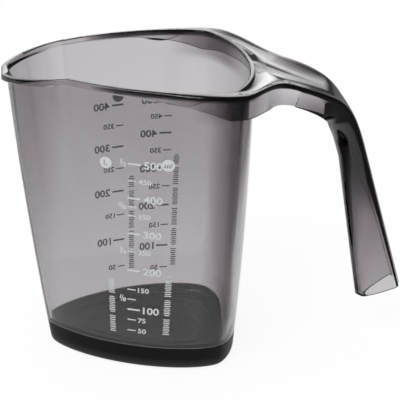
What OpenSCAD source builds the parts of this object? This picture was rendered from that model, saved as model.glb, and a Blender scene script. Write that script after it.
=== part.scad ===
// Measuring jug: a clear cup with a rounded-triangle plan, a pouring lip at the
// narrow end, and a rim skirt that sweeps over the broad end into an open channel
// handle. A soft foot closes the bottom. Scales are printed on the two long sides.
// X runs from the lip to the handle, Z is up, and the origin is under the foot.

/* [Vessel] */
// Height of the rim above the table
rim_z = 140.3; // [115:0.1:165]
// Wall thickness at the rim
wall_t = 2; // [1.6:0.1:2.4]
// Wall thickness at the floor
wall_low_t = 2.6; // [2.4:0.1:2.8]
// How far the walls swell outwards at mid height
swell = 1.26; // [0:0.02:2]
// Height of the inner floor above the table
floor_z = 8.3; // [7.5:0.1:9.5]
// Fillet between the inner floor and the walls
floor_r = 2.6; // [2:0.1:3]

/* [Plan of the walls at the rim] */
// Mean radius
rim_mean = 50.5; // [46:0.1:54]
// Set back of the plan towards the lip
rim_shift = 4.7; // [2:0.1:7]
// Lengthening of the plan
rim_oval = 5.3; // [4:0.1:6]
// Narrowing towards the lip
rim_tri = 6.5; // [5.5:0.1:7]

/* [Plan of the walls at the foot] */
// Mean radius
foot_mean = 38.7; // [36:0.1:42]
// Set forward of the plan towards the handle
foot_shift = 3.6; // [2:0.1:5]
// Lengthening of the plan
foot_oval = 5.6; // [4:0.1:6]
// Narrowing towards the lip
foot_tri = 4; // [3:0.1:4.3]

/* [Spout] */
// Fullness of the spout's shoulders
spout_full = 3.6; // [2.5:0.1:4.5]
// How far the lip turns out
lip_flare = 2.9; // [1.6:0.1:3.2]
// Height over which the lip turns out
lip_h = 5.5; // [5:0.5:9]
// How far the wall draws in below the lip
lip_neck = 1.5; // [0.5:0.1:1.8]
// Fall of the lip line, in degrees
lip_fall = 12; // [6:1:16]

/* [Rim skirt and web] */
// Proud edge of the bead along the sides
bead_out = 0.4; // [0.3:0.1:0.8]
// Height of the bead's edge near the spout
bead_h = 2.4; // [2:0.1:3]
// Reach of the skirt outside the wall at the back corners
flange_w = 4.9; // [4:0.1:6]
// Depth of the skirt at the back
skirt_h = 10.6; // [9:0.1:13]
// Thickness of the skirt
skirt_t = 1.7; // [1.5:0.1:1.8]
// Rounding of the skirt's outer edge
edge_r = 2.2; // [1.5:0.1:2.5]
// How far the web dips between the rim and its outer edge
web_dish = 1.4; // [0:0.1:2]

/* [Handle] */
// Reach of the handle's root behind the origin
root_x = 62.8; // [58:0.1:68]
// Fall of the web from the rim to the handle's root
root_drop = 4.9; // [3:0.1:7]
// Width of the handle at its root
root_w = 43; // [36:0.5:46]
// Reach of the top of the grip
grip_x = 99; // [94:0.1:106]
// Height of the top of the grip
grip_z = 97.6; // [90:0.1:106]
// Width of the grip's outer plate at its top
grip_w = 21; // [17:0.5:24]
// Height of the outer plate's lower end
end_z = 29.9; // [22:0.1:45]
// Width of the outer plate at the lower end
end_w = 16; // [14:0.1:20]
// Slope of the grip away from the vertical, in degrees
grip_lean = 18.6; // [14:0.1:22]
// Skew of the lower end's cut, in degrees
end_skew = 10; // [0:1:16]
// Depth from the plate to the nose at the top of the grip
grip_depth = 11.8; // [11:0.1:14]
// Depth from the plate to the nose at the lower end
end_depth = 21; // [16:0.1:23]
// Space across the mouth under the handle at its root
root_open = 35; // [30:0.5:38]
// Thickness of the handle's walls at the root
handle_t = 2.1; // [1.8:0.1:2.4]
// Thickness of the grip's walls at the lower end
end_t = 1.3; // [1.2:0.1:2]
// Extra thickness of the sides in the bend, between the two hollows
bulk_t = 3.6; // [0:0.1:3.8]
// Crown of the grip's outer plate
grip_crown = 1.2; // [0:0.1:1.6]

/* [Foot] */
// Height of the foot's upper edge
foot_h = 12; // [10.6:0.1:13]
// Thickness of the foot's wall
foot_t = 1.2; // [1:0.1:1.3]
// Thickness of the foot under the floor
foot_floor_t = 2; // [1.8:0.1:2.4]
// Rounding under the foot
foot_r = 3; // [2:0.1:3.5]

/* [Scales] */
// Thickness of the printed ink
ink_t = 0.12; // [0.1:0.01:0.2]
// Height of a main line
line_h = 0.85; // [0.5:0.05:1.1]
// Height of a minor line
minor_h = 0.55; // [0.3:0.05:0.8]
// Length of a main line
line_w = 5.8; // [4:0.1:7]
// Length of a minor line
minor_w = 3.8; // [2.5:0.1:4.5]
// Grams of flour in a millilitre
flour_density = 0.81; // [0.5:0.01:1]
// Grams of sugar in a millilitre
sugar_density = 1; // [0.8:0.01:1.1]

/* [Hidden] */

// Finer waves of the two plans, from the fourth on
rim_fine = [-0.4, 0.58, -0.3];
foot_fine = [-0.77, 0.42, -0.14];
// Clearances: foot to body, ink to wall
foot_gap = 0.1;
ink_gap = 0.05;
// Flat under the skirt's free edge where the skirt meets the wall
bead_in = 0.3;
// Rise of the fillet under the bead
bead_cove = 0.9;
// Rounding of the rim's inner edge
rim_r = 0.7;
// Chamfer round the body's underside
base_r = 1.5;
// Pull of the web's outline behind the back corners, and ahead of the root
corner_pull = 12.5;
root_pull = 14.5;
// Pull of the bend at the root and at the grip
bend_pull = 26.2;
grip_pull = 25.4;
// Slope of the handle at its root, in degrees
root_lean = 15.5;
// Rounding of the nose at the handle's lower end
end_r = 2.4;
// Depth of the hollow's nose behind the grip's nose, as a share of the wall
nose_share = 1.8;
// One millilitre and one litre, in cubic millimetres
ml = 1000;

// Angles of the plan: where the spout's crease, its shoulder and the skirt lie
crease_a = 122;
shoulder_a = 12;
skirt_end_a = 102;
web_a = 64;
// Angles of the left end of each column of printed lines, as read from outside
volume_a = -109.1;
flour_a = 107.3;
sugar_a = 92.8;

// Angles of the outward normal at the stations of half a plan, from the lip to the back
angles = concat([for (a = [180:-6:156]) a], [for (a = [152:-3:92]) a], [for (a = [88:-4:0]) a]);
K = len(angles) - 1;
N = 2 * K;
function station(n) = n <= K ? -angles[n] : angles[N - n];

// Steps along the sheet: web, edge rounding, skirt
web_n = 5;
edge_n = 3;
side_n = 4;
J = web_n + edge_n + side_n;
// Steps up the inner wall, round its fillet, down the outer wall
wall_n = 9;
fillet_n = 3;
outer_n = 9;
// Sections of the web behind the rim, of the bend and of the grip
chevron_n = 4;
bend_n = 12;
grip_n = 9;
// Section of the bend at which the mouth under the handle closes into the nose
mouth_n = 10;
M = bend_n + grip_n;

rim_waves = concat([rim_mean, -rim_shift, rim_oval, -rim_tri], rim_fine);
foot_waves = concat([foot_mean, foot_shift, foot_oval, -foot_tri], foot_fine);

function lerp(a, b, s) = a + (b - a) * s;
function clamp(s) = min(1, max(0, s));
function smooth(s) = let(c = clamp(s)) c * c * (3 - 2 * c);
function unit(v) = v / norm(v);
function mirror_y(p) = [p[0], -p[1], p[2]];
function bezier(p, s) = p[0] * pow(1 - s, 3) + p[1] * 3 * s * pow(1 - s, 2)
    + p[2] * 3 * s * s * (1 - s) + p[3] * pow(s, 3);
function normal(f) = [cos(f), sin(f), 0];

// Plan of the outer wall at height z, as waves of its support function
function waves(z) = let(s = z / rim_z)
    [for (k = [0:6]) lerp(foot_waves[k], rim_waves[k], s) + (k == 0 ? 4 * swell * s * (1 - s) : 0)];
function plan(a, f) = let(
    h = a * [for (k = [0:6]) cos(k * f)],
    g = a * [for (k = [0:6]) -k * sin(k * f)])
    [h * cos(f) - g * sin(f), h * sin(f) + g * cos(f), 0];

// Fullness of the spout: it starts at the crease and fades down the wall
function past_crease(f) = max(0, abs(f) - crease_a) / shoulder_a;
function fullness(f, z) = let(u = past_crease(f))
    spout_full * u * exp(1 - u) * smooth((z / rim_z - 0.45) / 0.5);
function flare(f, z) = let(u = past_crease(f), s = clamp(1 - (rim_top(f) - z) / lip_h))
    lip_flare * (1 - exp(-u / 2)) * s * s;
function neck(f, z) =
    lip_neck * (1 - exp(-past_crease(f) / 2)) * smooth((z / rim_z - 0.62) / 0.33);
crease_x = plan(rim_waves, crease_a)[0];
function rim_top(f) = rim_z - max(0, crease_x - plan(rim_waves, f)[0]) * tan(lip_fall);
function wall_point(f, z, off) =
    plan(waves(z), f) + normal(f) * (fullness(f, z) + flare(f, z) - neck(f, z) + off) + [0, 0, z];
function thickness(z) = lerp(wall_low_t, wall_t, z / rim_z);

// Reach and depth of the skirt, and how far its inside is open
function reach(f) = let(a = abs(f)) a >= skirt_end_a ? bead_out
    : bead_out + (flange_w - bead_out) * sin(90 * clamp((skirt_end_a - a) / (skirt_end_a - web_a)));
function drop(f) = lerp(bead_h, skirt_h, smooth((112 - abs(f)) / 40));
function openness(f) = smooth((99 - abs(f)) / 11);

// Outer edge of the web: past the back corner it runs to the handle's root
root_z = rim_z - root_drop;
corner = wall_point(-web_a, rim_z, flange_w);
web_line = [
    corner,
    corner + [corner_pull, 0, 0],
    [root_x - root_pull, -root_w / 2, rim_z],
    [root_x, -root_w / 2, rim_z]];
function web_share(f) = (web_a - abs(f)) / web_a;
function edge_point(f) = let(u = web_share(f))
    u <= 0 ? wall_point(-abs(f), rim_top(f), reach(f))
    : bezier(web_line, u) - [0, 0, root_drop * pow(u, 3)];
function edge_normal(f) = let(u = web_share(f))
    u <= 0 ? normal(-abs(f))
    : let(d = unit(bezier(web_line, min(1, u + 0.01)) - bezier(web_line, u - 0.01)))
        unit([d[1], -d[0], 0]);
function skirt_lean(f) = (root_w - root_open) / 2 * smooth(web_share(f) * 2 - 1);
function skirt_point(f) = edge_point(f) - edge_normal(f) * skirt_lean(f) - [0, 0, drop(f)];

// A path from a to c round the corner b: web, rounded edge, side
function path(a, b, c, r, dip) = let(
    p = b + unit(a - b) * min(r, 0.8 * norm(a - b)),
    q = b + unit(c - b) * min(r, 0.8 * norm(c - b)))
    concat(
        [for (i = [0:web_n]) lerp(a, p, i / web_n) - [0, 0, dip * sin(180 * i / web_n)]],
        [for (i = [1:edge_n]) let(s = i / edge_n) p * pow(1 - s, 2) + b * 2 * s * (1 - s) + q * s * s],
        [for (i = [1:side_n]) lerp(q, c, i / side_n)]);

// Outer and inner paths of the sheet at one station of the near half
function rim_point(f) = wall_point(f, rim_top(f), -wall_t / 2);
function outer_path(f) = path(rim_point(f), edge_point(f), skirt_point(f), edge_r,
    web_dish * smooth(1.6 * web_share(f)));
function under_path(f) = let(
    g = openness(f),
    z = rim_top(f),
    n = edge_normal(f),
    e = edge_point(f),
    s = skirt_point(f),
    shut_a = wall_point(f, z - drop(f) - bead_cove, 0),
    shut_b = s - n * bead_in - [0, 0, bead_in],
    open_p = path(wall_point(f, z - wall_t, 0), e - n * skirt_t - [0, 0, wall_t], s - n * skirt_t,
        edge_r - skirt_t, web_dish * smooth(1.6 * web_share(f))))
    [for (j = [0:J]) lerp(lerp(shut_a, shut_b, j / J), open_p[j], g)];

// The handle's outer line in side view, bend then grip
bend_line = [
    [root_x, 0, root_z],
    [root_x + bend_pull * cos(root_lean), 0, root_z - bend_pull * sin(root_lean)],
    [grip_x - grip_pull * sin(grip_lean), 0, grip_z + grip_pull * cos(grip_lean)],
    [grip_x, 0, grip_z]];
grip_dir = [sin(grip_lean), 0, -cos(grip_lean)];
grip_l = (grip_z - end_z) / cos(grip_lean);
// Place and direction of the outer line, and the form of the section, at step m of the handle
function bend_share(m) = min(1, m / bend_n);
function grip_share(m) = m <= bend_n ? 0 : m == M ? 1 : (m - bend_n) / (grip_n - 1) * (1 - end_r / grip_l);
function handle_point(m) = m <= bend_n ? bezier(bend_line, m / bend_n)
    : bend_line[3] + grip_dir * grip_l * grip_share(m);
function handle_dir(m) = m < bend_n
    ? unit(bezier(bend_line, m / bend_n + 0.01) - bezier(bend_line, max(0, m / bend_n - 0.01))) : grip_dir;
function handle_half(m) = lerp(lerp(root_w, grip_w, smooth(bend_share(m))), end_w, grip_share(m)) / 2;
function handle_depth(m) =
    lerp(lerp(skirt_h, grip_depth, smooth(2 * bend_share(m))), end_depth, grip_share(m))
    - (m == M ? end_r : 0);
function handle_crown(m) = lerp(-web_dish, grip_crown, smooth(bend_share(m)));
// How far the mouth is open, and how far the section has turned from a channel to a drop
function mouth(m) = cos(90 * min(1, m / mouth_n));
function drop_share(m) = smooth((bend_share(m) - 0.4) / 0.45);
// Walls of the plate and the sides: the sides are thick in the bend, where the two hollows meet
function plate_wall(m) = lerp(handle_t, end_t, grip_share(m));
function side_wall(m) = plate_wall(m)
    + bulk_t * smooth((bend_share(m) - 0.45) / 0.35) * (1 - smooth(2 * grip_share(m)));

// Half a section from its centre to the free edge or the nose, on the near side:
// inside is 0 for the outer face and 1 for the hollow
function half_section(m, inside) = let(
    c = handle_point(m),
    d = handle_dir(m),
    down = [d[2], 0, -d[0]] + d * tan(end_skew) * grip_share(m),
    t = inside * plate_wall(m),
    w = handle_half(m) - inside * side_wall(m),
    o = (root_open / 2 - inside * handle_t) * mouth(m),
    e = handle_depth(m) - inside * nose_share * plate_wall(m) * sqrt(1 - pow(mouth(m), 2)),
    shut = drop_share(m),
    crown = handle_crown(m),
    behind = min(1, m / chevron_n),
    a = lerp(rim_point(0) - [0, 0, t], handle_point(max(m, chevron_n)) + down * t, behind),
    b = c + down * t - [0, w, 0],
    s = c + down * e - [0, o, 0],
    r = inside == 1 ? edge_r - skirt_t : edge_r,
    p = b + unit(a - b) * r,
    q = b + unit(lerp(s - b, down * (e - t), shut)) * r)
    concat(
        [for (i = [0:web_n]) let(k = i / web_n, line = lerp(a, p, k))
            m < chevron_n
            ? line - [0, 0, web_dish * sin(180 * k) * (1 - behind)] - down * crown * (1 - k * k) * behind
            : line - down * crown * (1 - k * k)],
        [for (i = [1:edge_n]) let(k = i / edge_n) p * pow(1 - k, 2) + b * 2 * k * (1 - k) + q * k * k],
        [for (i = [1:side_n]) let(k = i / side_n, v = lerp(q, s, lerp(k, 2 * k - k * k, shut)))
            [v[0], lerp(q[1], s[1], k), v[2]]]);
function section(m, inside) = let(h = half_section(m, inside))
    concat([for (j = [J:-1:1]) h[j]], [h[0]], [for (j = [1:J]) mirror_y(h[j])]);

// Rings of the cup, and open rows of the sheet that leave a gap for the handle
function inner_ring(i) = [for (n = [0:N - 1]) let(
    f = station(n), top = rim_top(f) - rim_r, low = floor_z + floor_r)
    i <= fillet_n
    ? let(a = 90 * i / fillet_n, z = low - floor_r * cos(a))
        wall_point(f, z, -thickness(z) - floor_r * (1 - sin(a)))
    : i <= fillet_n + wall_n
    ? let(k = (i - fillet_n) / wall_n, z = lerp(low, top, 2 * k - k * k)) wall_point(f, z, -thickness(z))
    : let(a = 90 * (i - fillet_n - wall_n) / 2)
        wall_point(f, top + rim_r * sin(a), -thickness(top) + (thickness(top) - wall_t / 2) * (1 - cos(a)))];
sheet_f = concat([for (n = [0:K]) angles[n]], [for (n = [K:-1:1]) angles[n]]);
function sheet_row(rows, j) = [for (i = [0:N]) i <= K ? rows[i][j] : mirror_y(rows[N + 1 - i][j])];
function outer_ring(i) = [for (n = [0:N - 1]) let(
    f = station(n), z = lerp(under_rows[n <= K ? n : N - n][0][2], foot_h, pow(i / outer_n, 2)))
    wall_point(f, z, 0)];
function low_ring(z, off) = [for (n = [0:N - 1]) wall_point(station(n), z, off)];
near_rows = [for (n = [0:K]) outer_path(-angles[n])];
under_rows = [for (n = [0:K]) under_path(-angles[n])];

// Point list: inner rings, rim ring, outer sheet, under sheet, outer rings, handle, centres
inner_rings = [for (i = [0:fillet_n + wall_n + 1]) inner_ring(i)];
rim_ring = [for (n = [0:N - 1]) n <= K ? near_rows[n][0] : mirror_y(near_rows[N - n][0])];
outer_rings = concat(
    [for (i = [0:outer_n]) outer_ring(i)],
    [low_ring(foot_h, -foot_t - foot_gap),
     low_ring(foot_floor_t + base_r, -foot_t - foot_gap),
     low_ring(foot_floor_t, -foot_t - foot_gap - base_r)]);
cup_rings = concat(inner_rings, [rim_ring]);
flat_1 = function (rows) [for (r = rows) for (p = r) p];
body_points = concat(
    flat_1(cup_rings),
    flat_1([for (j = [1:J]) sheet_row(near_rows, j)]),
    flat_1([for (j = [1:J]) sheet_row(under_rows, j)]),
    flat_1(outer_rings),
    flat_1([for (m = [1:M]) section(m, 0)]),
    flat_1([for (m = [1:M]) section(m, 1)]),
    [wall_centre(floor_z), wall_centre(foot_floor_t)]);
function wall_centre(z) = [0, 0, z];

// Indices of the point list
cup_n = len(cup_rings) * N;
sheet_at = cup_n;
under_at = sheet_at + J * (N + 1);
rings_at = under_at + J * (N + 1);
handle_at = rings_at + len(outer_rings) * N;
inside_at = handle_at + M * (2 * J + 1);
centre_at = inside_at + M * (2 * J + 1);
function wrap(i) = (i + N) % N;
function cup_i(r, n) = r * N + wrap(n);
function column(i) = i <= K ? i : i - 1;
function sheet_i(j, i) = j == 0 ? cup_i(len(cup_rings) - 1, column(i % (N + 1)))
    : sheet_at + (j - 1) * (N + 1) + i % (N + 1);
function ring_i(r, n) = rings_at + r * N + wrap(n);
function under_i(j, i) = j == 0 ? ring_i(0, column(i % (N + 1))) : under_at + (j - 1) * (N + 1) + i % (N + 1);
// Sections run from the near free edge over the plate to the far one, and close at the nose
function nose_i(m, c) = m >= mouth_n && c == 2 * J ? 0 : c;
function handle_i(m, c) = m == 0 ? sheet_i(abs(c - J), c <= J ? K : K + 1)
    : handle_at + (m - 1) * (2 * J + 1) + nose_i(m, c);
function inside_i(m, c) = m == 0 ? under_i(abs(c - J), c <= J ? K : K + 1)
    : inside_at + (m - 1) * (2 * J + 1) + nose_i(m, c);
function quad(a, b, c, d) = [[a, b, c], [a, c, d]];

body_faces = [for (f = concat(
    [for (r = [0:len(cup_rings) - 2]) for (n = [0:N - 1])
        quad(cup_i(r, n), cup_i(r, n + 1), cup_i(r + 1, n + 1), cup_i(r + 1, n))],
    [for (j = [0:J - 1]) for (i = [0:N]) if (i != K)
        quad(sheet_i(j, i), sheet_i(j, i + 1), sheet_i(j + 1, i + 1), sheet_i(j + 1, i))],
    [for (i = [0:N]) if (i != K)
        quad(sheet_i(J, i), sheet_i(J, i + 1), under_i(J, i + 1), under_i(J, i))],
    [for (j = [0:J - 1]) for (i = [0:N]) if (i != K)
        quad(under_i(j + 1, i), under_i(j + 1, i + 1), under_i(j, i + 1), under_i(j, i))],
    [for (r = [0:len(outer_rings) - 2]) for (n = [0:N - 1])
        quad(ring_i(r, n), ring_i(r, n + 1), ring_i(r + 1, n + 1), ring_i(r + 1, n))],
    [for (m = [0:M - 1]) for (c = [0:2 * J - 1])
        quad(handle_i(m, c), handle_i(m, c + 1), handle_i(m + 1, c + 1), handle_i(m + 1, c))],
    [for (m = [0:M - 1]) for (c = [0:2 * J - 1])
        quad(inside_i(m, c + 1), inside_i(m, c), inside_i(m + 1, c), inside_i(m + 1, c + 1))],
    [for (m = [0:mouth_n - 1])
        quad(inside_i(m, 0), handle_i(m, 0), handle_i(m + 1, 0), inside_i(m + 1, 0))],
    [for (m = [0:mouth_n - 1])
        quad(handle_i(m, 2 * J), inside_i(m, 2 * J), inside_i(m + 1, 2 * J), handle_i(m + 1, 2 * J))],
    [for (c = [0:2 * J - 1])
        quad(handle_i(M, c), handle_i(M, c + 1), inside_i(M, c + 1), inside_i(M, c))],
    [for (n = [0:N - 1]) [[centre_at, cup_i(0, n + 1), cup_i(0, n)]]],
    [for (n = [0:N - 1]) [[centre_at + 1, ring_i(len(outer_rings) - 1, n), ring_i(len(outer_rings) - 1, n + 1)]]]
    )) for (t = f) t];

module jug_body() {
    color([0.45, 0.43, 0.46, 0.6])
        polyhedron(points = body_points, faces = body_faces, convexity = 10);
}

// Tray of the foot: a closed stack of rings from the inner floor out and down to the table
foot_rings = concat(
    [low_ring(foot_floor_t, -foot_t - base_r),
     low_ring(foot_floor_t + base_r, -foot_t),
     low_ring(foot_h - foot_gap, -foot_t),
     low_ring(foot_h - foot_gap, -foot_gap)],
    [for (i = [0:4]) let(a = 90 * i / 4)
        low_ring(foot_r * (1 - sin(a)), -foot_gap - foot_r * (1 - cos(a)))]);
foot_points = concat(flat_1(foot_rings), [wall_centre(foot_floor_t), wall_centre(0)]);
foot_faces = let(n_r = len(foot_rings), c = n_r * N) [for (f = concat(
    [for (r = [0:n_r - 2]) for (n = [0:N - 1])
        quad(cup_i(r, n), cup_i(r, n + 1), cup_i(r + 1, n + 1), cup_i(r + 1, n))],
    [for (n = [0:N - 1]) [[c, cup_i(0, n + 1), cup_i(0, n)]]],
    [for (n = [0:N - 1]) [[c + 1, cup_i(n_r - 1, n), cup_i(n_r - 1, n + 1)]]]
    )) for (t = f) t];

module non_slip_foot() {
    color([0.06, 0.06, 0.07])
        polyhedron(points = foot_points, faces = foot_faces, convexity = 4);
}

// Room inside the cup up to height z, from the areas of its plans
function area(z) = let(a = waves(z), m = a[0] - thickness(z))
    PI * (m * m + 0.5 * (a * [for (k = [0:6]) k == 0 ? 0 : (1 - k * k) * a[k]]));
level_n = 44;
level_z = [for (i = [0:level_n]) lerp(floor_z, rim_z, i / level_n)];
level_v = [for (i = 0, v = 0; i <= level_n;
    v = v + (i < level_n ? (area(level_z[i]) + area(level_z[i + 1])) / 2 * (level_z[i + 1] - level_z[i]) : 0),
    i = i + 1) v];
function level(v) = lookup(v, [for (i = [0:level_n]) [level_v[i], level_z[i]]]);

// One printed line on the wall: its left end is at the plan angle f, its middle at height z
module line(f, z, w, h) {
    start = wall_point(f, z, 0);
    next = wall_point(f + 1, z, 0);
    f_mid = f + w / 2 / norm(next - start);
    p = wall_point(f_mid, z, ink_gap + ink_t / 2);
    up = wall_point(f_mid, z + h, 0) - wall_point(f_mid, z - h, 0);
    translate(p)
        rotate([0, 0, f_mid])
            rotate([0, atan2(up * normal(f_mid), up[2]), 0])
                cube([ink_t, w, h], center = true);
}

// Lines of one scale: volumes in millilitres, main lines where the list says so
module scale_lines(f, main, minor) {
    for (v = main) line(f, level(v * ml), line_w, line_h);
    for (v = minor) line(f, level(v * ml), minor_w, minor_h);
}

module litre_marks() {
    color("white")
        scale_lines(volume_a, [], [125, 250, 375]);
}

module millilitre_marks() {
    color("white")
        scale_lines(volume_a, [for (v = [100:100:500]) v], [50, 75, 150, 350, 450]);
}

module flour_marks() {
    color("white")
        scale_lines(flour_a, [for (g = [100:100:400]) g / flour_density],
            [for (g = [50:100:350]) g / flour_density]);
}

module sugar_marks() {
    color("white")
        scale_lines(sugar_a, [for (g = [100:100:500]) g / sugar_density],
            [for (g = [50:100:450]) g / sugar_density]);
}

jug_body();
non_slip_foot();
litre_marks();
millilitre_marks();
flour_marks();
sugar_marks();
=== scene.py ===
"""Measuring jug in clear smoke plastic on a white table: looks, prints, light and camera."""
import math

import bmesh
import bpy
import numpy as np
from mathutils import Matrix, Vector


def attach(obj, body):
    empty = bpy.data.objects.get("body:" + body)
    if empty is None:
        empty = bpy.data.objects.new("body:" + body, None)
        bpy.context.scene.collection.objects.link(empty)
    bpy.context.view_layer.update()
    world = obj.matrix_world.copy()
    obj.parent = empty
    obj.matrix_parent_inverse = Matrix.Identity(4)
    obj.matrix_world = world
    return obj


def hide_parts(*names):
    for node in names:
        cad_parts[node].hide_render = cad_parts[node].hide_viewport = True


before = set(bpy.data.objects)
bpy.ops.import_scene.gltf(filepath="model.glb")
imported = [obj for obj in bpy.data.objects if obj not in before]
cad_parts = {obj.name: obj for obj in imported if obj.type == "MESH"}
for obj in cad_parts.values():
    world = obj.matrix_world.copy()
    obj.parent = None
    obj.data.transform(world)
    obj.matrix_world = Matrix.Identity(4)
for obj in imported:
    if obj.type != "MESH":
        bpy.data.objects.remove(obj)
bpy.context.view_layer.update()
MM = 0.001


def link(name, data):
    """A new object with this data, in the scene."""
    ob = bpy.data.objects.new(name, data)
    bpy.context.scene.collection.objects.link(ob)
    return ob


# ---------------------------------------------------------------- camera
# where it stands as seen from its aim, and its turn about the line of sight
AZIMUTH, ELEVATION, ROLL = (math.radians(a) for a in (-8.22, 23.99, 3.23))
AIM = Vector((24.3, 0.0, 71.8)) * MM
DISTANCE = 708.6 * MM
# focal length and width of the picture in pixels, width of the sensor in mm
FOCAL_PX, FRAME_PX, SENSOR = 1526.8, 400, 36.0
CLIP = (0.01, 20)


def make_camera():
    view = Vector((-math.sin(AZIMUTH) * math.cos(ELEVATION),
                   math.cos(AZIMUTH) * math.cos(ELEVATION),
                   -math.sin(ELEVATION)))
    right = view.cross(Vector((0, 0, 1))).normalized()
    up = right.cross(view)
    right, up = (right * math.cos(ROLL) + up * math.sin(ROLL),
                 up * math.cos(ROLL) - right * math.sin(ROLL))
    data = bpy.data.cameras.new("camera")
    data.sensor_width = SENSOR
    data.lens = FOCAL_PX * SENSOR / FRAME_PX
    data.clip_start, data.clip_end = CLIP
    cam = link("camera", data)
    place = Matrix((right, up, -view)).transposed().to_4x4()
    place.translation = AIM - view * DISTANCE
    cam.matrix_world = place
    bpy.context.scene.camera = cam


make_camera()

# ---------------------------------------------------------------- the jug's sizes, in mm
# X runs from the lip to the handle, Z is up, and the origin is under the foot.
# Angles of the plan are those of its outward normal, in degrees: 180 at the lip, 0 at the back.
# vessel: height of the rim, wall at the rim and at the floor, swell at mid height, inner floor
RIM_Z, WALL_T, WALL_LOW_T, SWELL = 140.3, 2.0, 2.6, 1.26
FLOOR_Z, FLOOR_R = 8.3, 2.6
# waves of the plan's support function, at the rim and at the table
RIM_WAVES = np.array([50.5, -4.7, 5.3, -6.5, -0.4, 0.58, -0.3])
FOOT_WAVES = np.array([38.7, 3.6, 5.6, -4.0, -0.77, 0.42, -0.14])
WAVE_K = np.arange(7)
# spout: fullness of its shoulders, flare of the lip and its height, neck below it, fall to the tip
SPOUT_FULL, LIP_FLARE, LIP_H, LIP_NECK, LIP_FALL = 3.6, 2.9, 5.5, 1.5, math.radians(12)
# where the fullness and the neck start up the wall, and over what, as shares of the rim's height
FULL_RISE, NECK_RISE = (0.45, 0.5), (0.62, 0.33)
# plan angles of the spout's crease, the skirt's end and the back corner; width of the shoulder
CREASE_A, SHOULDER_A, SKIRT_END_A, WEB_A = 122.0, 12.0, 102.0, 64.0
# plan angles from which the skirt deepens and its inside opens towards the back, over how many
DEEPEN_A, OPEN_A = (112, 40), (99, 11)
# rim and skirt: bead, reach of the skirt at the back corners, its depth and thickness
BEAD_OUT, BEAD_H, FLANGE_W, SKIRT_H, SKIRT_T = 0.4, 2.4, 4.9, 10.6, 1.7
BEAD_IN, BEAD_COVE, RIM_R = 0.3, 0.9, 0.7
EDGE_R, WEB_DISH = 2.2, 1.4
# how soon behind the corners the web is dished, and the most of a side that a rounding takes
DISH_RISE, ROUND_SHARE = 1.6, 0.8
# handle: root, top and lower end of the grip, slopes, depths and openings
ROOT_X, ROOT_DROP, ROOT_W = 62.8, 4.9, 43.0
GRIP_X, GRIP_Z, GRIP_W, END_Z, END_W = 99.0, 97.6, 21.0, 29.9, 16.0
GRIP_LEAN, ROOT_LEAN = math.radians(18.6), math.radians(15.5)
GRIP_DEPTH, END_DEPTH = 11.8, 21.0
ROOT_OPEN, MOUTH_SHARE, END_SKEW = 35.0, 0.83, math.radians(10)
HANDLE_T, END_T, BULK_T, GRIP_CROWN, END_R = 2.1, 1.3, 3.6, 1.2, 2.4
NOSE_SHARE = 1.8
# pulls of the curves: web behind the corners and ahead of the root, bend at its two ends
CORNER_PULL, ROOT_PULL, BEND_PULL, GRIP_PULL = 12.5, 14.5, 26.2, 25.4
# shares of the bend at which the section closes to a drop and its sides get thick, and over what;
# share of the grip over which the sides get thin again
DROP_RISE, BULK_RISE, BULK_FADE = (0.4, 0.45), (0.45, 0.35), 0.5
# foot: height, wall, floor, rounding at the table and at its top, play round the body
FOOT_H, FOOT_T, FOOT_FLOOR_T, FOOT_R, FOOT_EDGE_R, FOOT_GAP = 12.0, 1.2, 2.0, 3.0, 0.3, 0.1
BASE_R = 1.5
# ridges on the floor: where they start as shares of its outline, their height, rows across one
FLOOR_RIDGES, RIDGE_H = (0.94, 0.78), 0.9
RIDGE_STEP, RIDGE_PROFILE = 0.015, (0.0, 0.15, 0.5, 0.85, 1.0, 0.85, 0.5, 0.15, 0.0)

# steps of the fine mesh: across the sheet, up the cup, along the handle, round the foot
WEB_N, EDGE_N, SIDE_N = 14, 8, 7
FILLET_N, WALL_N, RIM_N, OUTER_N = 7, 26, 5, 26
CHEVRON_N, BEND_N, GRIP_N = 12, 36, 22
FOOT_WALL_N, FOOT_ROUND_N = 4, 10
# rows of the sheet, sections of the handle, and the one at which its mouth closes
J = WEB_N + EDGE_N + SIDE_N
HANDLE_N = BEND_N + GRIP_N
MOUTH_M = round(MOUTH_SHARE * BEND_N)
# handle steps at which solid plastic starts to fill the hollow and to leave it, and over how many;
# half the width and the height that it leaves of the hollow
PLUG_RISE, PLUG_FALL = (9, 14), (29, 7)
PLUG_HALF_W, PLUG_H = 0.4, 0.3
# angles of the outward normal along half a plan, from the lip to the back
ANGLES = np.concatenate([np.arange(180, 150, -1.5), np.arange(150, 122, -1.0),
                         np.arange(122, 92, -1.5), np.arange(92, -0.1, -1.15)])
ANGLES[-1] = 0.0
# stations round the whole plan, near side first; steps round half of it and all of it
STATIONS = np.concatenate([-ANGLES, ANGLES[-2:0:-1]])
K = len(ANGLES) - 1
N = 2 * K

UP = np.array([0.0, 0.0, 1.0])
# half the step between the two points that give a curve's direction
TANGENT_STEP = 0.01
# edges of the meshes that turn by more than this stay sharp
SHARP_A = math.radians(40)


# ---------------------------------------------------------------- curves
def lerp(a, b, s):
    return a + (b - a) * s


def smooth(s):
    c = np.clip(s, 0, 1)
    return c * c * (3 - 2 * c)


def rise(s, start, span):
    """0 up to start, 1 from start + span on."""
    return smooth((s - start) / span)


def unit(v):
    return v / np.linalg.norm(v, axis=-1, keepdims=True)


def mirror_y(p):
    return p * [1, -1, 1]


def bezier(p, s):
    s = np.asarray(s, float)[..., None]
    return (p[0] * (1 - s) ** 3 + p[1] * 3 * s * (1 - s) ** 2
            + p[2] * 3 * s * s * (1 - s) + p[3] * s ** 3)


def direction(p, s):
    return unit(bezier(p, np.minimum(1, s + TANGENT_STEP))
                - bezier(p, np.maximum(0, s - TANGENT_STEP)))


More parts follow.
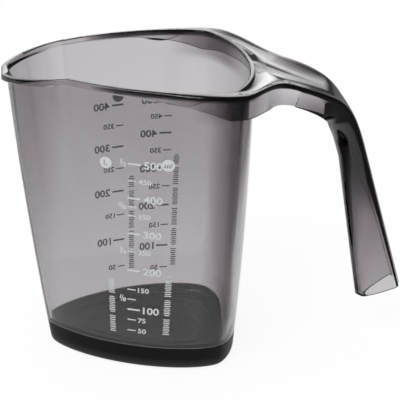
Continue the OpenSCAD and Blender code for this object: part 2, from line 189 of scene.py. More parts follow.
def steps(n, first=1):
    """Shares of n steps, from the first to 1."""
    return [i / n for i in range(first, n + 1)]


def rounding(p, corner, q):
    """Points round a corner, after p and up to q."""
    return [p * (1 - s) ** 2 + corner * 2 * s * (1 - s) + q * s * s for s in steps(EDGE_N)]


# ---------------------------------------------------------------- walls
def normal(f):
    f = np.radians(f)
    return np.stack([np.cos(f), np.sin(f), 0 * f], -1)


def plan(a, f):
    """Point of the outline whose outward normal has the angle f."""
    f = np.radians(f)
    c, s = np.cos(WAVE_K * f[..., None]), np.sin(WAVE_K * f[..., None])
    h, g = (a * c).sum(-1), (-a * WAVE_K * s).sum(-1)
    return np.stack([h * np.cos(f) - g * np.sin(f), h * np.sin(f) + g * np.cos(f), 0 * f], -1)


def waves(z):
    """Waves of the plan at the height z."""
    s = np.asarray(z, float)[..., None] / RIM_Z
    a = lerp(FOOT_WAVES, RIM_WAVES, s)
    a[..., 0] += (4 * SWELL * s * (1 - s))[..., 0]
    return a


def past_crease(f):
    """0 up to the spout's crease, then the angle past it in shoulder widths."""
    return np.maximum(0, np.abs(f) - CREASE_A) / SHOULDER_A


CREASE_X = plan(RIM_WAVES, np.array(CREASE_A))[0]


def rim_top(f):
    """Height of the rim, which falls from the crease to the tip of the lip."""
    ahead = np.maximum(0, CREASE_X - plan(RIM_WAVES, np.asarray(f, float))[..., 0])
    return RIM_Z - ahead * math.tan(LIP_FALL)


def wall_point(f, z, off):
    """Point of the outer wall at the angle f and height z, moved out by off."""
    f, z, off = np.broadcast_arrays(*(np.asarray(v, float) for v in (f, z, off)))
    u = past_crease(f)
    full = SPOUT_FULL * u * np.exp(1 - u) * rise(z / RIM_Z, *FULL_RISE)
    s = np.clip(1 - (rim_top(f) - z) / LIP_H, 0, 1)
    lip = (LIP_FLARE * s * s - LIP_NECK * rise(z / RIM_Z, *NECK_RISE)) * (1 - np.exp(-u / 2))
    p = plan(waves(z), f) + normal(f) * (full + lip + off)[..., None]
    p[..., 2] = z
    return p


def thickness(z):
    return lerp(WALL_LOW_T, WALL_T, z / RIM_Z)


def low_ring(z, off):
    return wall_point(STATIONS, z, off)


def inner_ring(i):
    """Ring i of the cup's inside: fillet at the floor, wall, rounding at the rim."""
    top, low = rim_top(STATIONS) - RIM_R, FLOOR_Z + FLOOR_R
    if i <= FILLET_N:
        a = math.pi / 2 * i / FILLET_N
        z = low - FLOOR_R * math.cos(a)
        return wall_point(STATIONS, z, -thickness(z) - FLOOR_R * (1 - math.sin(a)))
    if i <= FILLET_N + WALL_N:
        k = (i - FILLET_N) / WALL_N
        z = lerp(low, top, k * (2 - k))
        return wall_point(STATIONS, z, -thickness(z))
    a = math.pi / 2 * (i - FILLET_N - WALL_N) / RIM_N
    t = thickness(top)
    return wall_point(STATIONS, top + RIM_R * math.sin(a),
                      -t + (t - WALL_T / 2) * (1 - math.cos(a)))


# ---------------------------------------------------------------- rim, skirt and web
def reach(f):
    """How far the rim's edge stands out from the wall."""
    s = np.clip((SKIRT_END_A - np.abs(f)) / (SKIRT_END_A - WEB_A), 0, 1)
    return BEAD_OUT + (FLANGE_W - BEAD_OUT) * np.sin(np.pi / 2 * s)


def drop(f):
    """Depth of the bead's edge or of the skirt."""
    return lerp(BEAD_H, SKIRT_H, smooth((DEEPEN_A[0] - np.abs(f)) / DEEPEN_A[1]))


def openness(f):
    """How far the skirt is hollow behind: 0 where it is filled up to the wall."""
    return smooth((OPEN_A[0] - np.abs(f)) / OPEN_A[1])


CORNER = wall_point(-WEB_A, RIM_Z, FLANGE_W)
WEB_LINE = np.array([CORNER, CORNER + [CORNER_PULL, 0, 0],
                     [ROOT_X - ROOT_PULL, -ROOT_W / 2, RIM_Z], [ROOT_X, -ROOT_W / 2, RIM_Z]])


def web_share(f):
    """0 at the back corner, 1 at the handle's root, negative along the sides."""
    return (WEB_A - np.abs(f)) / WEB_A


def dish(f):
    return WEB_DISH * smooth(DISH_RISE * web_share(f))


def edge_point(f):
    """Corner between the top of the sheet and the skirt, on the near side."""
    u = web_share(f)
    on_side = wall_point(-np.abs(f), rim_top(f), reach(f))
    c = np.clip(u, 0, 1)
    on_web = bezier(WEB_LINE, c) - np.array([0, 0, ROOT_DROP]) * c[..., None] ** 3
    return np.where((u <= 0)[..., None], on_side, on_web)


def edge_normal(f):
    """Level direction outwards at that corner."""
    u = web_share(f)
    d = direction(WEB_LINE, np.clip(u, TANGENT_STEP, 1))
    across = unit(np.stack([d[..., 1], -d[..., 0], 0 * u], -1))
    return np.where((u <= 0)[..., None], normal(-np.abs(f)), across)


def skirt_point(f):
    """Lower edge of the skirt."""
    lean = (ROOT_W - ROOT_OPEN) / 2 * smooth(web_share(f) * 2 - 1)
    return edge_point(f) - edge_normal(f) * lean[..., None] - UP * drop(f)[..., None]


def path(a, b, c, r, dip):
    """Rows from a to c round the corner b: web, rounded edge, side."""
    ab, cb = np.linalg.norm(a - b, axis=-1), np.linalg.norm(c - b, axis=-1)
    p = b + unit(a - b) * np.minimum(r, ROUND_SHARE * ab)[..., None]
    q = b + unit(c - b) * np.minimum(r, ROUND_SHARE * cb)[..., None]
    web = [lerp(a, p, s) - UP * (dip * math.sin(math.pi * s))[..., None]
           for s in steps(WEB_N, first=0)]
    return np.array(web + rounding(p, b, q) + [lerp(q, c, s) for s in steps(SIDE_N)])


def rim_point(f):
    return wall_point(f, rim_top(f), -WALL_T / 2)


def outer_rows(f):
    return path(rim_point(f), edge_point(f), skirt_point(f), EDGE_R, dish(f))


def under_rows(f):
    """Rows under the sheet: closed onto the wall along the sides, open behind them."""
    z, n, e, s = rim_top(f), edge_normal(f), edge_point(f), skirt_point(f)
    shut_a = wall_point(f, z - drop(f) - BEAD_COVE, 0)
    shut_b = s - n * BEAD_IN - UP * BEAD_IN
    shut_rows = lerp(shut_a, shut_b, np.linspace(0, 1, J + 1)[:, None, None])
    open_rows = path(wall_point(f, z - WALL_T, 0), e - n * SKIRT_T - UP * WALL_T, s - n * SKIRT_T,
                     EDGE_R - SKIRT_T, dish(f))
    return lerp(shut_rows, open_rows, openness(f)[None, :, None])


# ---------------------------------------------------------------- handle
BEND_LINE = np.array([
    [ROOT_X, 0, RIM_Z - ROOT_DROP],
    [ROOT_X + BEND_PULL * math.cos(ROOT_LEAN), 0,
     RIM_Z - ROOT_DROP - BEND_PULL * math.sin(ROOT_LEAN)],
    [GRIP_X - GRIP_PULL * math.sin(GRIP_LEAN), 0, GRIP_Z + GRIP_PULL * math.cos(GRIP_LEAN)],
    [GRIP_X, 0, GRIP_Z]])
GRIP_DIR = np.array([math.sin(GRIP_LEAN), 0, -math.cos(GRIP_LEAN)])
GRIP_L = (GRIP_Z - END_Z) / math.cos(GRIP_LEAN)


def bend_share(m):
    return min(1, m / BEND_N)


def grip_share(m):
    if m <= BEND_N:
        return 0.0
    return 1.0 if m == HANDLE_N else (m - BEND_N) / (GRIP_N - 1) * (1 - END_R / GRIP_L)


def mouth(m):
    """How far the mouth under the handle is open: 1 at the root, 0 from where it closes."""
    return math.cos(math.pi / 2 * min(1, m / MOUTH_M))


def handle_line(m):
    """Centre and direction of the outer plate at step m of the handle."""
    if m < BEND_N:
        return bezier(BEND_LINE, m / BEND_N), direction(BEND_LINE, m / BEND_N)
    return BEND_LINE[3] + GRIP_DIR * GRIP_L * grip_share(m), GRIP_DIR


def half_section(m, inside):
    """Half a section, from the plate's centre to the free edge or, past the mouth, the nose.

    The outer face has inside 0, and the hollow has 1.
    """
    c, d = handle_line(m)
    sb, g = bend_share(m), grip_share(m)
    down = np.array([d[2], 0, -d[0]]) + d * math.tan(END_SKEW) * g
    shut = rise(sb, *DROP_RISE)
    plate_t = lerp(HANDLE_T, END_T, g)
    bulk = rise(sb, *BULK_RISE) * (1 - smooth(g / BULK_FADE))
    plug = rise(m, *PLUG_RISE) * (1 - rise(m, *PLUG_FALL))
    # half the width at the plate, half the mouth, depth to the free edge, depth of the plate
    w = (lerp(lerp(ROOT_W, GRIP_W, smooth(sb)), END_W, g) / 2
         - inside * (plate_t + BULK_T * bulk))
    w -= inside * plug * (w - PLUG_HALF_W)
    o = (ROOT_OPEN / 2 - inside * HANDLE_T) * mouth(m)
    e = lerp(lerp(SKIRT_H, GRIP_DEPTH, smooth(2 * sb)), END_DEPTH, g)
    e -= inside * NOSE_SHARE * plate_t * math.sqrt(1 - mouth(m) ** 2)
    t = inside * lerp(plate_t, e - PLUG_H, plug)
    if m == HANDLE_N:
        e -= END_R

    def at(half_width, depth):
        return c + down * depth - np.array([0, half_width, 0])

    # the web behind the rim still starts at the rim, and turns into the plate
    behind = min(1, m / CHEVRON_N)
    middle = handle_line(max(m, CHEVRON_N))[0] + down * t
    a = lerp(rim_point(np.array(0.0)) - UP * t, middle, behind)
    b, s = at(w, t), at(o, e)
    r = EDGE_R - SKIRT_T if inside else EDGE_R
    p = b + unit(a - b) * r
    q = b + unit(lerp(s - b, at(w, e) - b, shut)) * r
    crown = lerp(-WEB_DISH, GRIP_CROWN, smooth(sb))
    half = [lerp(a, p, k) - UP * WEB_DISH * math.sin(math.pi * k) * (1 - behind)
            - down * crown * (1 - k * k) * behind for k in steps(WEB_N, first=0)]
    half += rounding(p, b, q)
    for k in steps(SIDE_N):
        v = lerp(q, s, lerp(k, 2 * k - k * k, shut))
        v[1] = lerp(q[1], s[1], k)
        half.append(v)
    return np.array(half)


def section(m, inside):
    """Whole section of the handle, from the near free edge over the plate to the far one."""
    half = half_section(m, inside)
    return np.concatenate([half[:0:-1], half[:1], mirror_y(half[1:])])


# ---------------------------------------------------------------- meshes
def join_ends(ids):
    """Grid whose first column comes again as its last."""
    return np.concatenate([ids, ids[:, :1]], 1)


class Mesh:
    """Grids of points joined into one closed mesh."""

    def __init__(self):
        self.points, self.faces, self.count = [], [], 0

    def add(self, rows):
        """Add a grid of points, and give the grid of their numbers."""
        rows = np.asarray(rows, float)
        ids = self.count + np.arange(rows.shape[0] * rows.shape[1]).reshape(rows.shape[:2])
        self.points.append(rows.reshape(-1, 3))
        self.count += ids.size
        return ids

    def skin(self, ids, flip=False):
        for r in range(ids.shape[0] - 1):
            for c in range(ids.shape[1] - 1):
                q = (ids[r, c], ids[r, c + 1], ids[r + 1, c + 1], ids[r + 1, c])
                self.faces.append(tuple(int(v) for v in (q[::-1] if flip else q)))

    def cap(self, ring, centre, flip=False):
        c = self.add(np.array([[centre]]))[0, 0]
        for i in range(len(ring)):
            t = (int(c), int(ring[i]), int(ring[(i + 1) % len(ring)]))
            self.faces.append(t[::-1] if flip else t)

    def object(self, name, rounded=True):
        me = bpy.data.meshes.new(name)
        me.from_pydata((np.concatenate(self.points) * MM).tolist(), [], self.faces)
        me.update()
        if rounded:
            me.shade_smooth()
            me.set_sharp_from_angle(angle=SHARP_A)
        return link(name, me)


def add_inside(m, rim_row):
    """The cup's inside, up to the ring of the rim, which is given back, and the floor."""
    inner = m.add(np.array([inner_ring(i) for i in range(FILLET_N + WALL_N + RIM_N)]))
    rim = m.add(np.concatenate([rim_row, mirror_y(rim_row[-2:0:-1])])[None])
    m.skin(join_ends(np.concatenate([inner, rim])), flip=True)
    # low moulded ridges follow the outline on the floor
    edge, rows = inner_ring(0), [inner[0]]
    for share in FLOOR_RIDGES:
        for i, height in enumerate(RIDGE_PROFILE):
            row = edge * (share - i * RIDGE_STEP)
            row[:, 2] = FLOOR_Z + RIDGE_H * height
            rows.append(m.add(row[None])[0])
    m.skin(join_ends(np.array(rows)))
    m.cap(rows[-1], [0, 0, FLOOR_Z])
    return rim


def add_outside(m, under_row):
    """The outer wall from under the sheet down, narrowed inside the foot, and the underside."""
    z0 = np.concatenate([under_row[:, 2], under_row[-2:0:-1, 2]])
    rings = [low_ring(lerp(z0, FOOT_H, s ** 2), 0) for s in steps(OUTER_N, first=0)]
    rings += [low_ring(FOOT_H, -FOOT_T - FOOT_GAP),
              low_ring(FOOT_FLOOR_T + BASE_R, -FOOT_T - FOOT_GAP),
              low_ring(FOOT_FLOOR_T, -FOOT_T - FOOT_GAP - BASE_R)]
    wall = m.add(np.array(rings))
    m.skin(join_ends(wall), flip=True)
    m.cap(wall[-1], [0, 0, FOOT_FLOOR_T], flip=True)
    return wall


def add_sheet(m, rows):
    """Rows 1 to J of one side of the sheet: near side to the back, far side back to the lip."""
    return m.add(np.array([np.concatenate([row, mirror_y(row[:0:-1])]) for row in rows[1:]]))


def add_handle(m, sheet, inside):
    """Outer face and hollow of the handle, which start at the back columns of the sheet."""
    grids = []
    for hollow, start in enumerate((sheet, inside)):
        grid = m.add(np.array([section(i, hollow) for i in range(1, HANDLE_N + 1)]))
        # from where the mouth closes, a section starts and ends in one point
        grid[MOUTH_M - 1:, -1] = grid[MOUTH_M - 1:, 0]
        root = np.concatenate([start[::-1, K], start[1:, K + 1]])
        grids.append(np.concatenate([root[None], grid]))
    plate, cavity = grids
    m.skin(plate, flip=True)
    m.skin(cavity)
    open_part = np.s_[:MOUTH_M + 1]
    m.skin(np.array([cavity[open_part, 0], plate[open_part, 0]]).T, flip=True)
    m.skin(np.array([plate[open_part, -1], cavity[open_part, -1]]).T, flip=True)
    m.skin(np.array([plate[-1], cavity[-1]]), flip=True)


def build_body():
    """The one clear moulding: cup, sheet of rim, skirt and web, and handle."""
    m = Mesh()
    near, under = outer_rows(-ANGLES), under_rows(-ANGLES)
    rim = add_inside(m, near[0])
    top, low = add_sheet(m, near), add_sheet(m, under)
    wall = add_outside(m, under[0])
    # columns: the back one comes twice, once for each side, and the lip's one at both ends
    columns = np.concatenate([np.arange(K + 1), np.arange(K, N), [0]])
    sheet = np.concatenate([rim[:, columns], join_ends(top)])
    inside = np.concatenate([wall[:1, columns], join_ends(low)])
    for half in (np.s_[:, :K + 1], np.s_[:, K + 1:]):
        m.skin(sheet[half], flip=True)
        m.skin(inside[half])
        m.skin(np.array([sheet[-1], inside[-1]])[half], flip=True)
    add_handle(m, sheet, inside)
    return m.object("clear_body")


def build_foot():
    """Tray of the foot, as rings from the inner floor up, over its edge and down to the table."""
    m = Mesh()
    top = FOOT_H - FOOT_GAP
    rings = [low_ring(FOOT_FLOOR_T, -FOOT_T - BASE_R),
             low_ring(FOOT_FLOOR_T + BASE_R, -FOOT_T),
             low_ring(top - FOOT_EDGE_R, -FOOT_T),
             low_ring(top, -FOOT_T + FOOT_EDGE_R),
             low_ring(top, -FOOT_GAP - FOOT_EDGE_R),
             low_ring(top - FOOT_EDGE_R, -FOOT_GAP)]
    rings += [low_ring(lerp(top - FOOT_EDGE_R, FOOT_R, s), -FOOT_GAP)
              for s in steps(FOOT_WALL_N)[:-1]]
    for s in steps(FOOT_ROUND_N, first=0):
        a = math.pi / 2 * s
        rings.append(low_ring(FOOT_R * (1 - math.sin(a)),
                              -FOOT_GAP - FOOT_R * (1 - math.cos(a))))
    ids = m.add(np.array(rings))
    m.skin(join_ends(ids), flip=True)
    m.cap(ids[0], [0, 0, FOOT_FLOOR_T])
    m.cap(ids[-1], [0, 0, 0], flip=True)
    return m.object("soft_foot")


# ---------------------------------------------------------------- nodes
# sockets of a Mix node that mixes colours
MIX_FACTOR, MIX_A, MIX_B, MIX_RESULT = 0, 6, 7, 2


def new_material(name):
    """Material, its node tree, and the output that is all it holds."""
    mat = bpy.data.materials.new(name)
    mat.use_nodes = True
    tree = mat.node_tree
    tree.nodes.clear()
    return mat, tree, tree.nodes.new("ShaderNodeOutputMaterial")


def feed(tree, socket, value):
    """Link another socket to this one, or set its number or colour."""
    if isinstance(value, bpy.types.NodeSocket):
        tree.links.new(value, socket)
    else:
        socket.default_value = value


def principled(tree, out, **values):
    p = tree.nodes.new("ShaderNodeBsdfPrincipled")
    for key, value in values.items():
        feed(tree, p.inputs[key.replace("_", " ")], value)
    tree.links.new(p.outputs["BSDF"], out.inputs["Surface"])
    return p


def noise(tree, scale, detail):
    n = tree.nodes.new("ShaderNodeTexNoise")
    n.inputs["Scale"].default_value = scale
    n.inputs["Detail"].default_value = detail
    place = tree.nodes.new("ShaderNodeTexCoord")
    tree.links.new(place.outputs["Object"], n.inputs["Vector"])
    return n.outputs["Fac"]


def axes(tree, coordinates="Object"):
    """The sockets X, Y and Z of the place, in metres, or for the world of the direction."""
    place, split = tree.nodes.new("ShaderNodeTexCoord"), tree.nodes.new("ShaderNodeSeparateXYZ")
    tree.links.new(place.outputs[coordinates], split.inputs[0])
    return split.outputs


def ramp(tree, source, low, high, a, b):
    """a up to low, b from high on, straight between."""
    r = tree.nodes.new("ShaderNodeMapRange")
    for key, value in (("From Min", low), ("From Max", high), ("To Min", a), ("To Max", b)):
        r.inputs[key].default_value = value
    tree.links.new(source, r.inputs["Value"])
    return r.outputs["Result"]


def combine(tree, operation, *values):
    """Sum, product or the like of sockets and numbers, taken one after the other."""
    result = values[0]
    for value in values[1:]:
        step = tree.nodes.new("ShaderNodeMath")
        step.operation = operation
        feed(tree, step.inputs[0], result)
        feed(tree, step.inputs[1], value)
        result = step.outputs[0]
    return result


def product(tree, place, ramps, *factors):
    """Product of ramps (axis, low, high, a, b) over the place, and of factors."""
    parts = [ramp(tree, place[axis], *values) for axis, *values in ramps]
    return combine(tree, "MULTIPLY", *parts, *factors)


def mixed(tree, factor, a, b):
    """Colour between a, at the factor 0, and b."""
    mix = tree.nodes.new("ShaderNodeMix")
    mix.data_type = "RGBA"
    for at, value in ((MIX_FACTOR, factor), (MIX_A, a), (MIX_B, b)):
        feed(tree, mix.inputs[at], value)
    return mix.outputs[MIX_RESULT]


def bump(tree, source, target, strength, distance):
    b = tree.nodes.new("ShaderNodeBump")
    b.inputs["Strength"].default_value = strength
    b.inputs["Distance"].default_value = distance
    tree.links.new(source, b.inputs["Height"])
    tree.links.new(b.outputs["Normal"], target.inputs["Normal"])


def mix_shaders(tree, factor, first, second):
    mix = tree.nodes.new("ShaderNodeMixShader")
    for socket, value in zip(mix.inputs, (factor, first.outputs[0], second.outputs[0])):
        tree.links.new(value, socket)
    return mix


# ---------------------------------------------------------------- materials
WHITE = (1, 1, 1, 1)
# The tint is how much the plastic absorbs, SMOKE all over. The ramps are painted shade in it:
# lighter low down, darker up high, behind the cup and in the handle, and darker again at some
# places. Ramps: axis, from and to in metres, values there.
SMOKE, SMOKE_COLOUR = 500.0, (0.52, 0.485, 0.515, 1)
PAINTED_SHADE_RAMPS = (("Z", 0.035, 0.13, 0.62, 1.16), ("X", 0.036, 0.046, 1.0, 1.15),
        ("X", 0.05, 0.072, 1.0, 2.1))
PAINTED_SHADE_SPOTS = {
    "skirt": (("Z", 0.126, 0.13, 0, 1), ("X", 0.012, 0.036, 0, 1.3), ("X", 0.038, 0.044, 1, 0)),
    "near back corner": (("Y", -0.026, -0.018, 1.45, 0), ("X", 0.021, 0.032, 0, 1),
                         ("X", 0.034, 0.037, 1, 0)),
    "bend": (("Z", 0.098, 0.112, 0, 0.3), ("X", 0.072, 0.09, 0, 1)),
    "rim": (("Z", 0.1372, 0.1386, 0, 5.0), ("X", -0.03, -0.01, 0, 1), ("X", 0.034, 0.042, 1, 0)),
    "spout": (("X", -0.056, -0.04, 0.4, 0),),
}


def clear_plastic():
    mat, tree, out = new_material("clear_smoke_plastic")
    uneven = noise(tree, scale=90.0, detail=2.0)
    p = principled(tree, out, Base_Color=WHITE, Transmission_Weight=1.0, IOR=1.55,
                   Roughness=ramp(tree, uneven, 0.35, 0.7, 0.004, 0.02))
    bump(tree, noise(tree, scale=14.0, detail=1.0), p, strength=0.05, distance=0.0006)
    volume = tree.nodes.new("ShaderNodeVolumeAbsorption")
    volume.inputs["Color"].default_value = SMOKE_COLOUR
    volume.inputs["Density"].default_value = SMOKE
    place = axes(tree)
    # painted shade: the even tint SMOKE is made to absorb more or less by place
    painted_spots = combine(tree, "ADD", *(product(tree, place, ramps) for ramps in PAINTED_SHADE_SPOTS.values()), 1.0)
    tree.links.new(product(tree, place, PAINTED_SHADE_RAMPS, painted_spots, SMOKE), volume.inputs["Density"])
    tree.links.new(volume.outputs["Volume"], out.inputs["Volume"])
    return mat


# rubber: its two blacks, the grey of a painted reflection of the white table on the lower edge,
# and where that ends, in metres
BLACKS = (0.002, 0.002, 0.0025, 1), (0.005, 0.005, 0.0055, 1)
TABLE_REFLECTION_GREY, TABLE_REFLECTION_EDGE = (0.035, 0.033, 0.032, 1), (0.0015, 0.006)
# the ink is white: these greys are painted shade for the weak light on the near side, varied at
# random by its grain
SHADED_INK_GREYS = (0.5, 0.53, 0.53, 1), (0.62, 0.65, 0.65, 1)


def soft_black():
    mat, tree, out = new_material("soft_black_rubber")
    dust = noise(tree, scale=40.0, detail=3.0)
    # painted reflection and bounce light: the rubber turns grey towards the table
    reflection_band = ramp(tree, axes(tree)["Z"], *TABLE_REFLECTION_EDGE, 1, 0)
    p = principled(tree, out, Specular_IOR_Level=0.1,
                   Base_Color=mixed(tree, reflection_band, mixed(tree, dust, *BLACKS), TABLE_REFLECTION_GREY),
                   Roughness=ramp(tree, dust, 0.3, 0.7, 0.36, 0.46))
    bump(tree, noise(tree, scale=900.0, detail=4.0), p, strength=0.25, distance=0.0002)
    return mat


def printed_ink():
    mat, tree, out = new_material("printed_white_ink")
    grain = noise(tree, scale=1500.0, detail=3.0)
    principled(tree, out, Base_Color=mixed(tree, grain, *SHADED_INK_GREYS),
               Roughness=ramp(tree, grain, 0.3, 0.7, 0.45, 0.6))
    return mat


# ---------------------------------------------------------------- prints, in mm
# plan angle at which each column of lines starts
VOLUME_A, FLOUR_A, SUGAR_A = -109.1, 107.3, 92.8
FLOUR_DENSITY = 0.81
ML = 1000
INK_T, INK_GAP = 0.12, 0.05
# degrees to each side of a print's place over which the wall is measured, and points there
WRAP_A, WRAP_N = 30, 241
# figures: extra weight, extra width, half their depth, their height in the font, steps of a curve
BOLD, WIDE, HALF_DEPTH, FONT_H, FONT_STEPS = 0.022, 1.12, 0.5, 0.7, 3
# points of a print's flat mesh that are nearer than this are one
MERGE = 1e-4
# numbers: height, and where they start beside the lines
LARGE, SMALL = (3.5, 7.1), (2.4, 4.8)
# fractions: height and slant of the figures, their places, the slash, and the place of the whole
FRACTION_H, SLANT, OVER_AT, UNDER_AT = 2.0, 0.15, (-2.3, 0.75), (0.0, -0.6)
SLASH = [(-2.5, -1.65), (-2.15, -1.65), (-1.2, 1.75), (-1.55, 1.75)]
FRACTION_AT = (-0.65, 0.1)
# discs: corners, and how far a g is raised as a share of its height, because it hangs low
DISC_N, RAISED = 48, 0.15
# columns of bars: height and pitch of a bar, pitch between groups and bars in one, half widths
# as shares of the column's width
BAR_H, BAR_PITCH, GROUP_PITCH, GROUP_N, BAR_SHARES = 0.5, 1.0, 2.4, 9, (0.5, 0.36, 0.5, 0.42)

# heights at which the cup's volume is added up
LEVEL_Z = np.linspace(FLOOR_Z, RIM_Z, 400)


def volumes(z):
    """Volume inside the cup up to each height, in cubic millimetres."""
    a = waves(z)
    mean = a[:, 0] - thickness(z)
    weight = np.where(WAVE_K == 0, 0, 1 - WAVE_K ** 2)
    area = np.pi * (mean ** 2 + 0.5 * (a * a * weight).sum(-1))
    return np.concatenate([[0], np.cumsum((area[1:] + area[:-1]) / 2 * np.diff(z))])


LEVEL_V = volumes(LEVEL_Z)


def level(v):
    """Height that v millilitres reach inside the cup."""
    return float(np.interp(v * ML, LEVEL_V, LEVEL_Z))


def on_wall(p, angle, z):
    """Wrap flat ink points (x along the wall, y up, z from 0 to 1 through the ink) on the wall."""
    a = angle + np.linspace(-WRAP_A, WRAP_A, WRAP_N)
    ring = wall_point(a, z, 0)
    s = np.concatenate([[0], np.cumsum(np.linalg.norm(np.diff(ring, axis=0), axis=1))])
    f = np.interp(p[:, 0], s - s[WRAP_N // 2], a)
    return wall_point(f, z + p[:, 1], INK_GAP + INK_T * p[:, 2])


def evaluated(ob):
    """Points and faces of an object with its modifiers, with double points merged."""
    bpy.context.view_layer.update()
    me = bpy.data.meshes.new_from_object(ob.evaluated_get(bpy.context.evaluated_depsgraph_get()))
    bm = bmesh.new()
    bm.from_mesh(me)
    bmesh.ops.remove_doubles(bm, verts=bm.verts, dist=MERGE)
    points = np.array([v.co[:] for v in bm.verts])
    faces = [[v.index for v in f.verts] for f in bm.faces]
    bm.free()
    bpy.data.meshes.remove(me)
    return points, faces


def glyphs(text, height, align=0.0):
    """Flat closed solids of a text: middle at y 0, and x 0 at the share align of its width."""
    curve = bpy.data.curves.new("glyphs", "FONT")
    curve.body, curve.size, curve.extrude, curve.offset = text, 1.0, HALF_DEPTH, BOLD
    curve.resolution_u = FONT_STEPS
    ob = link("glyphs", curve)
    points, faces = evaluated(ob)
    bpy.data.objects.remove(ob)
    bpy.data.curves.remove(curve)
    points[:, :2] *= height / FONT_H
    points[:, 0] *= WIDE
    points[:, 0] -= lerp(points[:, 0].min(), points[:, 0].max(), align)
    points[:, 1] -= height / 2
    points[:, 2] += HALF_DEPTH
    return points, faces


def moved(part, x, y, slant=0.0):
    """The flat part slanted, then moved to x and y."""
    points = part[0] + [x, y, 0]
    points[:, 0] += slant * part[0][:, 1]
    return points, part[1]


def prism(outline):
    """Closed plate from a flat outline."""
    n = len(outline)
    flat = np.array(outline, float)
    points = np.concatenate([np.c_[flat, np.zeros(n)], np.c_[flat, np.ones(n)]])
    faces = [list(range(n))[::-1], list(range(n, 2 * n))]
    faces += [[i, (i + 1) % n, n + (i + 1) % n, n + i] for i in range(n)]
    return points, faces


def disc(text, radius, height):
    """A round plate with the unit's sign cut out of it."""
    a = np.linspace(0, 2 * np.pi, DISC_N + 1)[:-1]
    plate = prism(np.c_[np.cos(a), np.sin(a)] * radius)
    points, faces = glyphs(text, height, align=0.5)
    if text == "g":
        points[:, 1] += height * RAISED
    # the sign reaches past both faces of the plate
    points[:, 2] = points[:, 2] * 2 - HALF_DEPTH
    obs = []
    for p, f in (plate, (points, faces)):
        me = bpy.data.meshes.new("disc")
        me.from_pydata(p.tolist(), [], f)
        obs.append(link("disc", me))
    cut = obs[0].modifiers.new("cut", "BOOLEAN")
    cut.object, cut.operation, cut.solver = obs[1], "DIFFERENCE", "EXACT"
    result = evaluated(obs[0])
    for ob in obs:
        me = ob.data
        bpy.data.objects.remove(ob)
        bpy.data.meshes.remove(me)
    return result


def fraction(over, under):
    """A small fraction that ends at x 0."""
    return [moved(glyphs(over, FRACTION_H, align=1.0), *OVER_AT, SLANT), prism(SLASH),
            moved(glyphs(under, FRACTION_H, align=1.0), *UNDER_AT, SLANT)]


def bars(height, width, x):
    """A plain column of short bars in groups, from y 0 up, with its middle at x."""
    parts, y, i = [], 0.0, 0
    while y < height:
        w = width * BAR_SHARES[i % len(BAR_SHARES)]
        parts.append(prism([(x - w, y), (x + w, y), (x + w, y + BAR_H), (x - w, y + BAR_H)]))
        i += 1
        y += BAR_PITCH if i % GROUP_N else GROUP_PITCH
    return parts


class Print(Mesh):
    """All that is printed for one scale beside its lines, as closed solids on the wall."""

    def put(self, parts, angle, z):
        """Flat parts, wrapped on the wall with their origin at a plan angle and a height."""
        for points, faces in parts:
            ids = self.add(on_wall(points, angle, z)[None])[0]
            self.faces += [[int(ids[i]) for i in f] for f in faces]

    def numbers(self, angle, large, small, density=1.0):
        """Numbers beside their lines; density is how many of the unit a millilitre holds."""
        for values, (height, x) in ((large, LARGE), (small, SMALL)):
            for v in values:
                self.put([moved(glyphs(str(v), height), x, 0)], angle, level(v / density))

    def column(self, angle, low, high, width, x):
        """Bars from one height to the other, their middle at x beside the lines."""
        self.put(bars(high - low, width, x), angle, low)


def build_prints():
    litre, millilitre, flour, sugar = (Print() for _ in range(4))
    for v, over, under in ((125, "1", "8"), (250, "1", "4"), (375, "3", "8"), (500, "1", "2")):
        litre.put([moved(part, *FRACTION_AT) for part in fraction(over, under)],
                  VOLUME_A, level(v))
    litre.put([disc("L", radius=2.7, height=2.6)], angle=-113.8, z=104.8)
    litre.column(VOLUME_A, low=18.5, high=46.8, width=2.8, x=-6.9)
    millilitre.numbers(VOLUME_A, range(100, 600, 100), (50, 75, 150, 250, 350, 450))
    millilitre.put([disc("ml", radius=2.85, height=2.3)], angle=-99.9, z=106.7)
    millilitre.column(VOLUME_A, low=19.7, high=51.4, width=3.0, x=17.6)
    flour.numbers(FLOUR_A, range(100, 500, 100), range(50, 400, 100), FLOUR_DENSITY)
    flour.put([disc("g", radius=2.85, height=2.6)], angle=108.6, z=109.2)
    flour.column(FLOUR_A, low=21.5, high=69.0, width=2.8, x=-3.7)
    sugar.numbers(SUGAR_A, range(100, 600, 100), range(50, 500, 100))
    sugar.column(SUGAR_A, low=21.5, high=78.0, width=2.8, x=-2.9)
    return [scale.object(name, rounded=False) for scale, name in (
        (litre, "litre_print"), (millilitre, "millilitre_print"),
        (flour, "flour_print"), (sugar, "sugar_print"))]


# ---------------------------------------------------------------- surroundings
WORLD_LIGHT = 0.75
TABLE_HALF, TABLE_COLOUR = 3.0, (0.93, 0.93, 0.93, 1)
# to the camera, glass and gloss the table glows: how brightly, and with what share of its look
GLOW, GLOW_SHARE = 1.03, 0.86
# mirror-like surfaces see the table only in part, through painted shade: a painted shadow under
# the handle, dim beside and in front
PAINTED_HANDLE_SHADOW = (("X", 0.062, 0.075, 0, 0.9), ("Y", -0.005, 0.02, 1, 0))
TABLE_REFLECTION_SHADE = (("X", 0.15, 0.22, 1, 0.12), ("Y", -0.06, 0.0, 0.8, 1), ("Y", -0.22, -0.15, 0.3, 1))
# the room through clear plastic: upward part of a direction, and the brightness there
ROOM = ((0.0, 1.0), (0.2, 0.2), (0.84, 0.2), (0.96, 0.6))
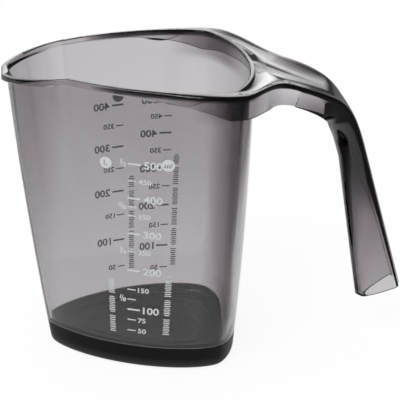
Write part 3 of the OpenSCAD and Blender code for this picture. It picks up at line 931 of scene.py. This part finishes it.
# what a mirror-like surface sees of the room: a soft panel behind the jug, little else
PANEL = (("Z", 0.08, 0.2, 0, 1), ("Z", 0.7, 0.85, 1, 0), ("Y", 0.0, 0.3, 0, 1),
         ("X", 0.34, 0.46, 1, 0))
PANEL_LIGHT, GLOSS_ROOM = 2.6, 0.1
# the lamp
KEY_PLACE, KEY_AIM, KEY_SIZE, KEY_POWER = (-0.6, -0.9, 1.3), (0, 0, 0.06), 0.9, 9


def setup_table():
    me = bpy.data.meshes.new("table")
    me.from_pydata([(x * TABLE_HALF, y * TABLE_HALF, 0)
                    for x, y in ((-1, -1), (1, -1), (1, 1), (-1, 1))], [], [(0, 1, 2, 3)])
    ob = link("table", me)
    mat, tree, out = new_material("white_table")
    diffuse = tree.nodes.new("ShaderNodeBsdfDiffuse")
    diffuse.inputs["Color"].default_value = TABLE_COLOUR
    glow = tree.nodes.new("ShaderNodeEmission")
    ray = tree.nodes.new("ShaderNodeLightPath").outputs
    # rays through the plastic count as glossy too, so those are taken off
    mirrored = combine(tree, "SUBTRACT", ray["Is Glossy Ray"], ray["Is Transmission Ray"])
    place = axes(tree)
    # painted shade in what glossy rays see of the table: a painted shadow under the handle and
    # dimming by place
    handle_shadow = product(tree, place, PAINTED_HANDLE_SHADOW)
    seen = product(tree, place, TABLE_REFLECTION_SHADE, combine(tree, "SUBTRACT", 1.0, handle_shadow))
    dimmed = combine(tree, "MULTIPLY", mirrored, combine(tree, "SUBTRACT", 1.0, seen))
    strength = combine(tree, "MULTIPLY", combine(tree, "SUBTRACT", 1.0, dimmed), GLOW)
    tree.links.new(strength, glow.inputs["Strength"])
    glows = combine(tree, "MAXIMUM", ray["Is Camera Ray"], ray["Is Transmission Ray"],
                    ray["Is Glossy Ray"])
    mix = mix_shaders(tree, combine(tree, "MULTIPLY", glows, GLOW_SHARE), diffuse, glow)
    tree.links.new(mix.outputs[0], out.inputs["Surface"])
    me.materials.append(mat)


def background(tree, colour=WHITE, strength=1.0):
    bg = tree.nodes.new("ShaderNodeBackground")
    feed(tree, bg.inputs["Color"], colour)
    feed(tree, bg.inputs["Strength"], strength)
    return bg


def setup_world():
    """White for the camera, a darker room through plastic, one panel for mirror-like surfaces."""
    world = bpy.data.worlds.new("studio")
    bpy.context.scene.world = world
    world.use_nodes = True
    tree = world.node_tree
    tree.nodes.clear()
    toward = axes(tree, "Generated")
    room = tree.nodes.new("ShaderNodeValToRGB")
    tree.links.new(toward["Z"], room.inputs["Fac"])
    stops = room.color_ramp.elements
    for i, (height, value) in enumerate(ROOM):
        stop = stops[i] if i < len(stops) else stops.new(height)
        stop.position, stop.color = height, (value, value, value, 1)
    panel = combine(tree, "ADD", product(tree, toward, PANEL, PANEL_LIGHT), GLOSS_ROOM)
    ray = tree.nodes.new("ShaderNodeLightPath").outputs
    shader = background(tree, strength=WORLD_LIGHT)
    for kind, seen in (("Is Glossy Ray", background(tree, strength=panel)),
                       ("Is Transmission Ray", background(tree, colour=room.outputs["Color"])),
                       ("Is Camera Ray", background(tree))):
        shader = mix_shaders(tree, ray[kind], shader, seen)
    out = tree.nodes.new("ShaderNodeOutputWorld")
    tree.links.new(shader.outputs[0], out.inputs["Surface"])


def setup_lamp():
    data = bpy.data.lights.new("key", "AREA")
    data.shape = "SQUARE"
    data.size = KEY_SIZE
    data.energy = KEY_POWER
    ob = link("key", data)
    ob.location = KEY_PLACE
    toward = Vector(KEY_AIM) - Vector(KEY_PLACE)
    ob.rotation_euler = toward.to_track_quat("-Z", "Y").to_euler()


setup_table()
setup_world()
setup_lamp()

# ---------------------------------------------------------------- the jug
body = build_body()
body.data.materials.append(clear_plastic())
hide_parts("jug_body")
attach(body, "root")

foot = build_foot()
foot.data.materials.append(soft_black())
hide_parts("non_slip_foot")
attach(foot, "root")

ink = printed_ink()
for node in ("litre_marks", "millilitre_marks", "flour_marks", "sugar_marks"):
    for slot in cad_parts[node].material_slots:
        slot.material = ink
for print_object in build_prints():
    print_object.data.materials.append(ink)
    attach(print_object, "root")

bpy.context.scene.view_settings.view_transform = "Standard"
